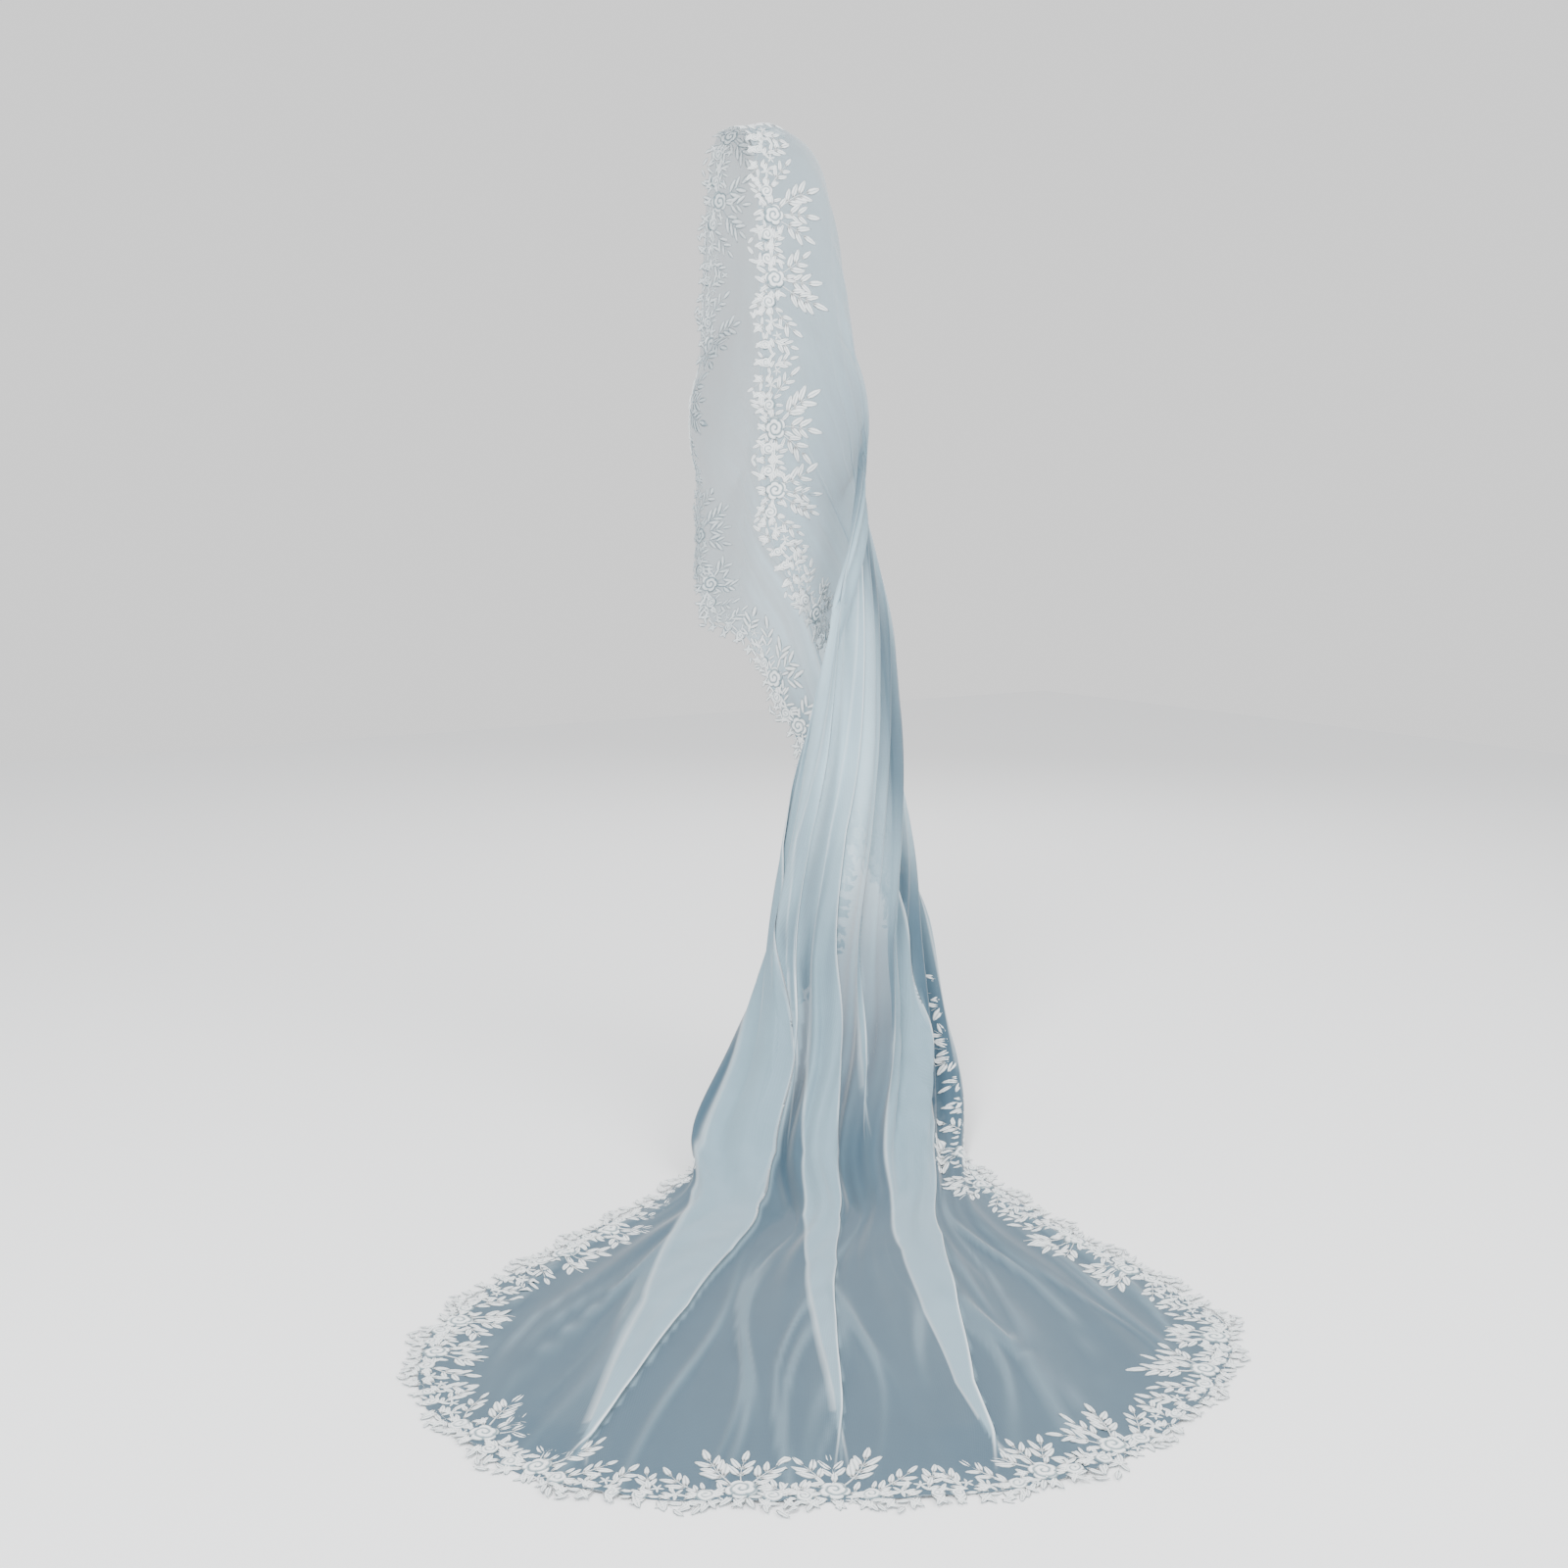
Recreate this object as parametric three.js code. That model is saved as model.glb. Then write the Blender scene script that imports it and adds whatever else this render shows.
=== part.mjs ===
// Lace bridal veil: one sheet of tulle, edged all round with rose-and-leaf lace.
// Millimetres, +Z up. The origin is at the crown, the highest place of the veil.
// The front faces -Y and the veil's left is +X. The train lies on the floor at the left front.
import * as THREE from 'three';

// Driving sizes
const fallHeight = 1750;        // crown to floor
const wall = 1.6;               // tulle, drawn as thick as a gathered layer
const laceWall = 1.6;           // tulle and corded lace together
const laceWidth = 84;           // the edging, from its inner line to its scalloped edge
const hollow = 18;              // how far the hollows go in between the leaf tips
const seam = 0.5;               // clear gap between the lace and the tulle
const endGap = 0.01;            // gap at the ends of a length of lace, in steps of the grid
const trainTurn = 57;           // degrees from the front to the side the train is laid to

// Comb
const combWall = 1.8;
const combTeeth = 7;
const combClearance = 0.8;      // between the comb and the tulle over it
const combHalf = 0.8;           // half of its width, in columns of the tulle's grid
const combRows = [0.15, 0.42, 1]; // top of the bar, bottom of the bar and tips, in rows of the tulle's grid

// Ellipsoids that the cloth lies round, which shape its two hollows: centre and half sizes
const roundedHollows = [
  { centre: [0, 15, -116], half: [82, 106, 114] },
  { centre: [0, 34, -520], half: [228, 126, 225] },
];

// Cross-sections of the sheet, a row for each, from the front edge to the end of the train.
// Each row has five stations from the right edge, round the back, to the left edge.
// The upper rows are [x, y, z] from the crown.
const upperSections = [
  { rightEdge: [-160, -48, -790], rightTurn: [-84, -62, -112], middle: [0, -62, -12],
    leftTurn: [84, -62, -112], leftEdge: [142, -92, -752] },
  { rightEdge: [-196, -24, -835], rightTurn: [-104, 20, -130], middle: [0, 18, 0],
    leftTurn: [104, 16, -130], leftEdge: [188, -62, -806] },
  { rightEdge: [-200, 14, -900], rightTurn: [-140, 66, -240], middle: [0, 112, -52],
    leftTurn: [140, 52, -240], leftEdge: [188, -8, -894] },
  { rightEdge: [-196, 62, -925], rightTurn: [-178, 106, -420], middle: [0, 132, -230],
    leftTurn: [190, 78, -430], leftEdge: [158, 58, -925] },
  { rightEdge: [-168, 92, -960], rightTurn: [-150, 140, -640], middle: [60, 150, -480],
    leftTurn: [236, 66, -640], leftEdge: [174, 98, -962] },
];

// Rows of the fall are [across, out, z]: across is to the right and out is forward, as seen from the side
// that the train is laid to.
const fallSections = [
  { rightEdge: [8, -150, -1020], rightTurn: [190, -10, -860], middle: [200, 116, -760],
    leftTurn: [128, 240, -860], leftEdge: [172, 112, -1035] },
  { rightEdge: [70, -125, -1140], rightTurn: [232, 25, -1060], middle: [196, 195, -1010],
    leftTurn: [84, 246, -1060], leftEdge: [166, 112, -1140] },
  { rightEdge: [140, -80, -1270], rightTurn: [269, 55, -1270], middle: [170, 265, -1230],
    leftTurn: [42, 240, -1260], leftEdge: [166, 140, -1290] },
  { rightEdge: [228, 15, -1400], rightTurn: [303, 120, -1430], middle: [150, 345, -1420],
    leftTurn: [8, 290, -1430], leftEdge: [140, 205, -1440] },
  { rightEdge: [262, 130, -1545], rightTurn: [326, 235, -1590], middle: [138, 440, -1580],
    leftTurn: [-36, 385, -1590], leftEdge: [34, 275, -1580] },
  { rightEdge: [300, 290, -1665], rightTurn: [346, 370, -1700], middle: [126, 560, -1700],
    leftTurn: [-92, 500, -1706], leftEdge: [-40, 395, -1690] },
  { rightEdge: [345, 440, -1742], rightTurn: [322, 560, -1744], middle: [118, 730, -1746],
    leftTurn: [-76, 660, -1744], leftEdge: [-120, 560, -1742] },
  { rightEdge: [440, 690, -1748], rightTurn: [306, 790, -1748], middle: [110, 905, -1748],
    leftTurn: [-76, 850, -1748], leftEdge: [-248, 760, -1748] },
  { rightEdge: [570, 920, -1748], rightTurn: [352, 1010, -1748], middle: [105, 1100, -1748],
    leftTurn: [-128, 1040, -1748], leftEdge: [-366, 950, -1748] },
  { rightEdge: [640, 1080, -1748], rightTurn: [400, 1220, -1748], middle: [100, 1300, -1748],
    leftTurn: [-184, 1240, -1748], leftEdge: [-428, 1110, -1748] },
  { rightEdge: [640, 1215, -1748], rightTurn: [400, 1478, -1748], middle: [100, 1546, -1748],
    leftTurn: [-224, 1506, -1748], leftEdge: [-440, 1270, -1748] },
];

// Soft folds that run down the sheet: how many from edge to edge, and their depth by section number
const foldCount = 7;
const folds = [
  { section: 0, depth: 0 },
  { section: 3, depth: 3 },
  { section: 5, depth: 9 },
  { section: 8, depth: 15 },
  { section: 10, depth: 10 },
  { section: 12, depth: 4 },
  { section: 15, depth: 2 },
];

// Grids
const tulleRows = 56;
const tulleColumns = 26;
const sectionSteps = 96;
const lacePiecesOnFront = 8;
const lacePiecesOnSide = 12;
const lacePiecesOnTrain = 7;

// Lines of the lace's grid, from the inner line, which meets the tulle, to the outer edge
const laceLines = [0, 0.42, 0.72, 1];

// Share of the sheet's length that the lace takes at the front edge and at the train's end
const laceAlongFront = 0.062;
const laceAlongTrain = 0.026;

const stationNames = ['rightEdge', 'rightTurn', 'middle', 'leftTurn', 'leftEdge'];
const turn = THREE.MathUtils.degToRad(trainTurn);

function fromTrainSide([across, out, z]) {
  const x = across * Math.cos(turn) + out * Math.sin(turn);
  const y = across * Math.sin(turn) - out * Math.cos(turn);
  return new THREE.Vector3(x, y, z);
}

// One lengthwise curve for each station, through its place in every section
const stationCurves = stationNames.map((name) => {
  const upper = upperSections.map((row) => new THREE.Vector3(...row[name]));
  const fallen = fallSections.map((row) => fromTrainSide(row[name]));
  return new THREE.CatmullRomCurve3([...upper, ...fallen], false, 'catmullrom', 0.5);
});
const lastSection = upperSections.length + fallSections.length - 1;

// Pushes a point out of the ellipsoids, so that the cloth lies round them
function keepHollow(point) {
  for (const { centre, half } of roundedHollows) {
    const offset = point.clone().sub(new THREE.Vector3(...centre));
    const inside = Math.hypot(offset.x / half[0], offset.y / half[1], offset.z / half[2]);
    if (inside < 1) {
      point.addScaledVector(offset, 1 / Math.max(inside, 0.05) - 1);
    }
  }
  return point;
}

const sectionStore = new Map();

// The section at a lengthwise place from 0 to 1, as points with the distance walked along them
function sectionAt(along) {
  const key = Math.round(along * 1e7);
  if (!sectionStore.has(key)) {
    const stations = stationCurves.map((curve) => curve.getPoint(along));
    const curve = new THREE.CatmullRomCurve3(stations, false, 'catmullrom', 0.5);
    const points = curve.getPoints(sectionSteps).map(keepHollow);
    const walked = [0];
    for (let i = 1; i < points.length; i += 1) {
      walked.push(walked[i - 1] + points[i].distanceTo(points[i - 1]));
    }
    sectionStore.set(key, { points, walked, length: walked[sectionSteps] });
  }
  return sectionStore.get(key);
}

function foldDepth(along) {
  const place = along * lastSection;
  let after = folds.findIndex((row) => row.section >= place);
  after = Math.max(1, after);
  const [low, high] = [folds[after - 1], folds[after]];
  const share = THREE.MathUtils.clamp((place - low.section) / (high.section - low.section), 0, 1);
  return THREE.MathUtils.lerp(low.depth, high.depth, share);
}

// The bare sheet at a distance walked from its right edge
function smoothPoint(along, distance) {
  const { points, walked } = sectionAt(along);
  let i = 1;
  while (i < sectionSteps && walked[i] < distance) {
    i += 1;
  }
  const share = (distance - walked[i - 1]) / (walked[i] - walked[i - 1]);
  return new THREE.Vector3().lerpVectors(points[i - 1], points[i], share);
}

function smoothNormal(along, distance) {
  const step = 6;
  const stepAlong = 0.004;
  const length = sectionAt(along).length;
  const before = THREE.MathUtils.clamp(distance - step, 0, length);
  const after = THREE.MathUtils.clamp(distance + step, 0, length);
  const across = smoothPoint(along, after).sub(smoothPoint(along, before));
  const start = Math.max(0, along - stepAlong);
  const end = Math.min(1, along + stepAlong);
  const share = distance / length;
  const down = smoothPoint(end, share * sectionAt(end).length)
    .sub(smoothPoint(start, share * sectionAt(start).length));
  return down.cross(across).normalize().negate();
}

// The sheet with its folds, which die out towards the lace.
// Across runs from 0 at the right edge to 1 at the left edge.
function sheetPoint(along, across) {
  const length = sectionAt(along).length;
  const distance = across * length;
  const normal = smoothNormal(along, distance);
  const fromEdge = Math.min(distance, length - distance);
  const fade = THREE.MathUtils.smoothstep(fromEdge, laceWidth, 2 * laceWidth);
  const wave = fade * Math.cos(2 * Math.PI * foldCount * across);
  const point = smoothPoint(along, distance).addScaledVector(normal, foldDepth(along) * wave);
  point.z = Math.max(point.z, wall / 2 - fallHeight + 0.05);
  return { point, normal };
}

// The share of a section that the lace takes at each end
const laceAcross = (along) => laceWidth / sectionAt(along).length;

// A closed solid on a grid of the sheet. place(i, j) gives the lengthwise and crosswise shares of a corner,
// and cells named in gaps are left open.
function gridSolid(rows, columns, place, thickness, lift = 0, gaps = new Set()) {
  const positions = [];
  for (const side of [0.5, -0.5]) {
    for (let i = 0; i <= rows; i += 1) {
      for (let j = 0; j <= columns; j += 1) {
        const { point, normal } = place(i, j);
        const vertex = point.clone().addScaledVector(normal, lift + side * thickness);
        positions.push(vertex.x, vertex.y, Math.max(vertex.z, -fallHeight));
      }
    }
  }
  const layer = (rows + 1) * (columns + 1);
  const at = (i, j) => i * (columns + 1) + j;
  const solid = (i, j) => i >= 0 && j >= 0 && i < rows && j < columns && !gaps.has(`${i},${j}`);
  const index = [];
  const quad = (a, b, c, d) => index.push(a, b, c, a, c, d);
  for (let i = 0; i < rows; i += 1) {
    for (let j = 0; j < columns; j += 1) {
      if (!solid(i, j)) {
        continue;
      }
      const [a, b, c, d] = [at(i, j), at(i, j + 1), at(i + 1, j + 1), at(i + 1, j)];
      quad(a, b, c, d);
      index.push(a + layer, c + layer, b + layer, a + layer, d + layer, c + layer);
      const rims = [
        [!solid(i - 1, j), a, b],
        [!solid(i, j + 1), b, c],
        [!solid(i + 1, j), c, d],
        [!solid(i, j - 1), d, a],
      ];
      for (const [open, from, to] of rims) {
        if (open) {
          quad(to, from, from + layer, to + layer);
        }
      }
    }
  }
  const used = [...new Set(index)].sort((m, n) => m - n);
  const renumbered = new Map(used.map((old, k) => [old, k]));
  const kept = used.flatMap((k) => positions.slice(3 * k, 3 * k + 3));
  const geometry = new THREE.BufferGeometry();
  geometry.setAttribute('position', new THREE.Float32BufferAttribute(kept, 3));
  geometry.setIndex(index.map((k) => renumbered.get(k)));
  return geometry;
}

// Signed volume tells whether the faces point out
function facingOut(geometry) {
  const p = geometry.attributes.position;
  const index = geometry.index.array;
  const corner = (k) => new THREE.Vector3().fromBufferAttribute(p, index[k]);
  let volume = 0;
  for (let k = 0; k < index.length; k += 3) {
    volume += corner(k).dot(corner(k + 1).cross(corner(k + 2)));
  }
  if (volume < 0) {
    for (let k = 0; k < index.length; k += 3) {
      [index[k + 1], index[k + 2]] = [index[k + 2], index[k + 1]];
    }
  }
  geometry.computeVertexNormals();
  return geometry;
}

const veil = new THREE.Group();

function addPiece(name, geometry, colour, roughness) {
  const material = new THREE.MeshStandardMaterial({ color: colour, roughness, metalness: 0 });
  material.side = THREE.DoubleSide;
  const mesh = new THREE.Mesh(facingOut(geometry), material);
  mesh.name = name;
  veil.add(mesh);
}

// Lengthwise places of the grid rows between the two ends of the tulle
const tulleStart = laceAlongFront;
const tulleEnd = 1 - laceAlongTrain;
const rowPlace = (i) => THREE.MathUtils.lerp(tulleStart, tulleEnd, i / tulleRows);
const columnPlace = (along, j) => {
  const margin = laceAcross(along);
  return THREE.MathUtils.lerp(margin, 1 - margin, j / tulleColumns);
};

// Tulle
addPiece(
  'tulle_veil',
  gridSolid(tulleRows, tulleColumns, (i, j) => {
    const along = rowPlace(i);
    return sheetPoint(along, columnPlace(along, j));
  }, wall),
  0xb9cad2,
  0.6,
);

// Lace
const laceCells = laceLines.length - 1;
const laceColour = (k) => (k % 2 ? 0xf4f5f3 : 0xffffff);

// Leaf tips reach the outer edge at every second step, and the hollows between them lie further in
const lineOut = (step, line) => (line === 1 && Math.round(step) % 2 === 0 ? 1 - hollow / laceWidth : line);

// A run of lace pieces along one edge. place(step, line) gives a point of the sheet, with steps that match
// the grid of the tulle, and every second cell of the middle line is a pierced gap.
function edging(label, pieces, steps, place) {
  let first = 0;
  for (let k = 0; k < pieces; k += 1) {
    const cells = Math.round((steps - first) / (pieces - k));
    const last = first + cells;
    const begin = first;
    const gaps = new Set();
    for (let i = 1; i < cells; i += 2) {
      gaps.add(`${i},1`);
    }
    const geometry = gridSolid(cells, laceCells, (i, j) => {
      const step = THREE.MathUtils.clamp(begin + i, begin + endGap, last - endGap);
      const inner = place(step, 0);
      const across = place(step, 0.1).point.sub(inner.point).normalize();
      return j === 0
        ? { point: inner.point.addScaledVector(across, seam), normal: inner.normal }
        : place(step, lineOut(begin + i, laceLines[j]));
    }, laceWall, 0, gaps);
    addPiece(`lace_${label}_${String(k + 1).padStart(2, '0')}`, geometry, laceColour(k), 0.8);
    first = last;
  }
}

// Distance from the outer edge at a line
const inFromEdge = (line) => laceWidth * (1 - line);
const sideShare = (along, line) => inFromEdge(line) / sectionAt(along).length;
const frontAlong = (line) => tulleStart * inFromEdge(line) / laceWidth;
const trainAlong = (line) => 1 - laceAlongTrain * inFromEdge(line) / laceWidth;

edging('left_side', lacePiecesOnSide, tulleRows, (step, line) => {
  const along = rowPlace(step);
  return sheetPoint(along, 1 - sideShare(along, line));
});
edging('right_side', lacePiecesOnSide, tulleRows, (step, line) => {
  const along = rowPlace(step);
  return sheetPoint(along, sideShare(along, line));
});
edging('face', lacePiecesOnFront, tulleColumns, (step, line) => {
  return sheetPoint(frontAlong(line), columnPlace(tulleStart, step));
});
edging('train', lacePiecesOnTrain, tulleColumns, (step, line) => {
  return sheetPoint(trainAlong(line), columnPlace(tulleEnd, step));
});

// Corners, where a side edge meets the front edge or the train's end. The grid goes out both ways.
function corner(name, along, tulleEdge, side) {
  const inset = (i) => Math.max(laceLines[i], 2 * endGap / laceCells);
  const geometry = gridSolid(laceCells, laceCells, (i, j) => {
    const share = sideShare(tulleEdge, inset(j));
    return sheetPoint(along(inset(i)), side > 0 ? 1 - share : share);
  }, laceWall, 0, new Set(['1,1']));
  addPiece(name, geometry, laceColour(0), 0.8);
}
corner('lace_corner_left_lobe', frontAlong, tulleStart, 1);
corner('lace_corner_right_lobe', frontAlong, tulleStart, -1);
corner('lace_corner_left_train', trainAlong, tulleEnd, 1);
corner('lace_corner_right_train', trainAlong, tulleEnd, -1);

// Comb under the tulle on the crown: a bar with teeth, bent to the same curve
const combMiddle = tulleColumns / 2;
const combColumns = 2 * combTeeth - 1;
const combGaps = new Set();
for (let j = 1; j < combColumns; j += 2) {
  combGaps.add(`1,${j}`);
}

// A place between grid corners of the tulle, on the flat of its facets
function onFacets(row, column) {
  const [i, j] = [Math.min(Math.floor(row), tulleRows - 1), Math.floor(column)];
  const corners = [[i, j], [i, j + 1], [i + 1, j], [i + 1, j + 1]].map(([m, n]) => {
    const along = rowPlace(m);
    return sheetPoint(along, columnPlace(along, n));
  });
  const [down, over] = [row - i, column - j];
  const [a, b, d, c] = corners;
  const weights = over > down
    ? [[a, 1 - over], [b, over - down], [c, down]]
    : [[a, 1 - down], [d, down - over], [c, over]];
  const mix = (key) => weights.reduce(
    (sum, [grid, weight]) => sum.addScaledVector(grid[key], weight),
    new THREE.Vector3(),
  );
  return { point: mix('point'), normal: mix('normal').normalize() };
}

addPiece(
  'crown_comb',
  gridSolid(2, combColumns, (i, j) => {
    const column = combMiddle + combHalf * (2 * j / combColumns - 1);
    return onFacets(combRows[i], column);
  }, combWall, -(wall / 2 + combClearance + combWall / 2), combGaps),
  0xd9dde0,
  0.3,
);

export default veil;
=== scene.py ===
# A cathedral-length bridal veil of tulle with rose-and-leaf lace, in the drape it hangs and lies in.
# The cloth and the lace are surfaces worked out with numpy in millimetres, and go into meshes in metres.
import math

import bpy
import numpy as np
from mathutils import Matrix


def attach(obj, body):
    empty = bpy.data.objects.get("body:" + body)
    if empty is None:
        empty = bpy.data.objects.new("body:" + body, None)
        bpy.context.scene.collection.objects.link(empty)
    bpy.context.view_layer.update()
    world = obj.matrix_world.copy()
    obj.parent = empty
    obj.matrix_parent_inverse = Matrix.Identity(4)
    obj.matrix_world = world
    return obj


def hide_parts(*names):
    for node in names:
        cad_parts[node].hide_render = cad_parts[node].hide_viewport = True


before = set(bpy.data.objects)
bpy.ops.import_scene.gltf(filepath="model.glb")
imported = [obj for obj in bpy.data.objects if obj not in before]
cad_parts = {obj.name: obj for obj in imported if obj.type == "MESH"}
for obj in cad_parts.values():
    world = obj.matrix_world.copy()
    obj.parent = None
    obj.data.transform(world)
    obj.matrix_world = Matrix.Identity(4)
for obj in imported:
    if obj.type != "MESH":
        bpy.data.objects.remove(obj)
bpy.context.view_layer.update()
mm = 0.001
rng = np.random.default_rng(7)

drape = {
    "fallHeight": 1750,       # crown to floor
    "trainTurn": 57,          # degrees from the front to the side the train is laid to
    "rows": 370,              # grid cells down the sheet
    "columns": 262,           # grid cells from the right edge to the left edge
    "wall": 0.5,              # what keeps the net clear of the floor
    "laceWidth": 84,          # the edging, which the soft folds die out towards
    "flatWidth": 1.6,         # the cut sheet in metres
    "flatLength": 3.0,
    "ovalShare": 0.84,        # its corners are cut round
}

# Ellipsoids that the cloth lies round, which shape its two hollows: centre and half sizes
roundedHollows = [
    {"centre": (0, 15, -116), "half": (82, 106, 114)},
    {"centre": (0, 34, -520), "half": (228, 126, 225)},
]

# Cross-sections of the sheet from its front edge to the end of the train, five stations in each, from the
# right edge round the back to the left edge. The upper rows are x, y, z from the crown.
upperSections = [
    # right edge          right turn          middle            left turn          left edge
    [(-160, -48, -790), (-84, -62, -112), (0, -62, -12), (84, -62, -112), (142, -92, -752)],
    [(-196, -24, -835), (-104, 20, -130), (0, 18, 0), (104, 16, -130), (188, -62, -806)],
    [(-200, 14, -900), (-140, 66, -240), (0, 112, -52), (140, 52, -240), (188, -8, -894)],
    [(-196, 62, -925), (-178, 106, -420), (0, 132, -230), (190, 78, -430), (158, 58, -925)],
    [(-168, 92, -960), (-150, 140, -640), (60, 150, -480), (236, 66, -640), (174, 98, -962)],
]
# Rows of the fall are across to the right, out towards the train's side, and z
fallSections = [
    [(8, -150, -1020), (190, -10, -860), (200, 116, -760), (128, 240, -860), (172, 112, -1035)],
    [(70, -125, -1140), (232, 25, -1060), (196, 195, -1010), (84, 246, -1060), (166, 112, -1140)],
    [(140, -80, -1270), (269, 55, -1270), (170, 265, -1230), (42, 240, -1260), (166, 140, -1290)],
    [(228, 15, -1400), (303, 120, -1430), (150, 345, -1420), (8, 290, -1430), (140, 205, -1440)],
    [(262, 130, -1545), (326, 235, -1590), (138, 440, -1580), (-36, 385, -1590), (34, 275, -1580)],
    [(300, 290, -1665), (346, 370, -1700), (126, 560, -1700), (-92, 500, -1706), (-40, 395, -1690)],
    [(345, 440, -1742), (322, 560, -1744), (118, 730, -1746), (-76, 660, -1744), (-120, 560, -1742)],
    [(440, 690, -1748), (306, 790, -1748), (110, 905, -1748), (-76, 850, -1748), (-248, 760, -1748)],
    [(570, 920, -1748), (352, 1010, -1748), (105, 1100, -1748), (-128, 1040, -1748), (-366, 950, -1748)],
    [(640, 1080, -1748), (400, 1220, -1748), (100, 1300, -1748), (-184, 1240, -1748), (-428, 1110, -1748)],
    [(640, 1215, -1748), (400, 1478, -1748), (100, 1546, -1748), (-224, 1506, -1748), (-440, 1270, -1748)],
]

# Depth in mm of the broad folds and the fine ones, by section number
foldDepths = {
    "section": [0, 2, 4, 6, 8, 9.5, 11, 12.5, 15],
    "broad": [0, 1, 4, 9, 13, 12, 7, 3, 1.5],
    "fine": [0, 1.5, 4, 8, 9, 8, 4, 1.2, 0.6],
}

# Pleats that run down the fall and on over the train, in order from the right edge. At each section, share is
# their place across the sheet, from 0 at the right edge to 1 at the left, and overlap is how wide they lie
# doubled, in mm.
pleatSections = [3, 5, 7, 8, 9, 10, 11, 12, 13, 14, 14.8]
pleats = [
    {"width": 9, "rise": 3, "columns": 18,
     "share": [0.18, 0.17, 0.17, 0.16, 0.15, 0.14, 0.13, 0.13, 0.13, 0.13, 0.13],
     "overlap": [0, 9, 14, 16, 12, 0, 0, 0, 0, 0, 0]},
    {"width": 24, "rise": 7, "columns": 46,
     "share": [0.36, 0.37, 0.38, 0.37, 0.355, 0.325, 0.32, 0.30, 0.34, 0.36, 0.35],
     "overlap": [0, 10, 34, 70, 108, 124, 108, 80, 54, 26, 0]},
    {"width": 9, "rise": 3, "columns": 18,
     "share": [0.47, 0.49, 0.51, 0.51, 0.49, 0.45, 0.43, 0.41, 0.41, 0.41, 0.41],
     "overlap": [0, 12, 20, 20, 10, 0, 0, 0, 0, 0, 0]},
    {"width": 16, "rise": 6, "columns": 38,
     "share": [0.57, 0.60, 0.63, 0.615, 0.60, 0.555, 0.57, 0.515, 0.505, 0.50, 0.50],
     "overlap": [0, 14, 32, 44, 56, 60, 58, 44, 28, 12, 0]},
    {"width": 10, "rise": 3, "columns": 18,
     "share": [0.67, 0.69, 0.70, 0.68, 0.66, 0.64, 0.64, 0.62, 0.61, 0.61, 0.61],
     "overlap": [0, 14, 22, 16, 6, 0, 0, 0, 0, 0, 0]},
    {"width": 26, "rise": 7, "columns": 50,
     "share": [0.79, 0.80, 0.79, 0.765, 0.74, 0.74, 0.80, 0.755, 0.73, 0.735, 0.74],
     "overlap": [0, 12, 44, 84, 124, 140, 138, 108, 66, 36, 0]},
]

# How the columns outside the pleats are shared among the gaps before, between and after them
gapShares = [0.2, 0.13, 0.12, 0.1, 0.1, 0.13, 0.22]

pleatForm = {
    "perOverlap": 1.16,       # mm of cloth shifted for each mm that lies doubled
    "perWidth": 1.3,          # and for each mm of the pleat's width, for its two turns
    "span": 3.2,              # widths from its middle to where its own columns end
    "toNeighbour": 0.85,      # or this share of the way to the next pleat, where that is less
    "bandColumn": 1.64,       # halves of its columns from its start to the end of its band
    "shownFrom": 12,          # mm of overlap at which it shows in full
}

# Low ridges of the train, drawn at random between two values each
ridgeRange = {
    "share": (0.06, 0.94),    # across the sheet
    "start": (11, 13.4),      # section numbers
    "end": (12.6, 15.2),
    "width": (4, 8.5),        # mm
    "height": (1.2, 3.8),
}
ridgeCount = 48


def splineThrough(stations, places):
    # Uniform Catmull-Rom: between two stations, the cubic whose slope at each is half the step between its
    # neighbours. The ends are reflected.
    ends = 2 * stations[:1] - stations[1:2], 2 * stations[-1:] - stations[-2:-1]
    padded = np.concatenate([ends[0], stations, ends[1]])
    i = np.clip(np.floor(places).astype(int), 0, len(stations) - 2)
    t = (places - i).reshape((-1,) + (1,) * (stations.ndim - 1))
    a, b, c, d = (padded[i + k] for k in range(4))
    return 0.5 * (2 * b + (c - a) * t + (2 * a - 5 * b + 4 * c - d) * t**2 + (3 * b - a - 3 * c + d) * t**3)


def keepHollow(points):
    # A point inside an ellipsoid moves out along the line from its centre, on to the surface
    for hollow in roundedHollows:
        offset = points - np.array(hollow["centre"])
        inside = np.linalg.norm(offset / np.array(hollow["half"]), axis=-1, keepdims=True)
        points = points + offset * np.where(inside < 1, 1 / np.maximum(inside, 0.05) - 1, 0)
    return points


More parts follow.
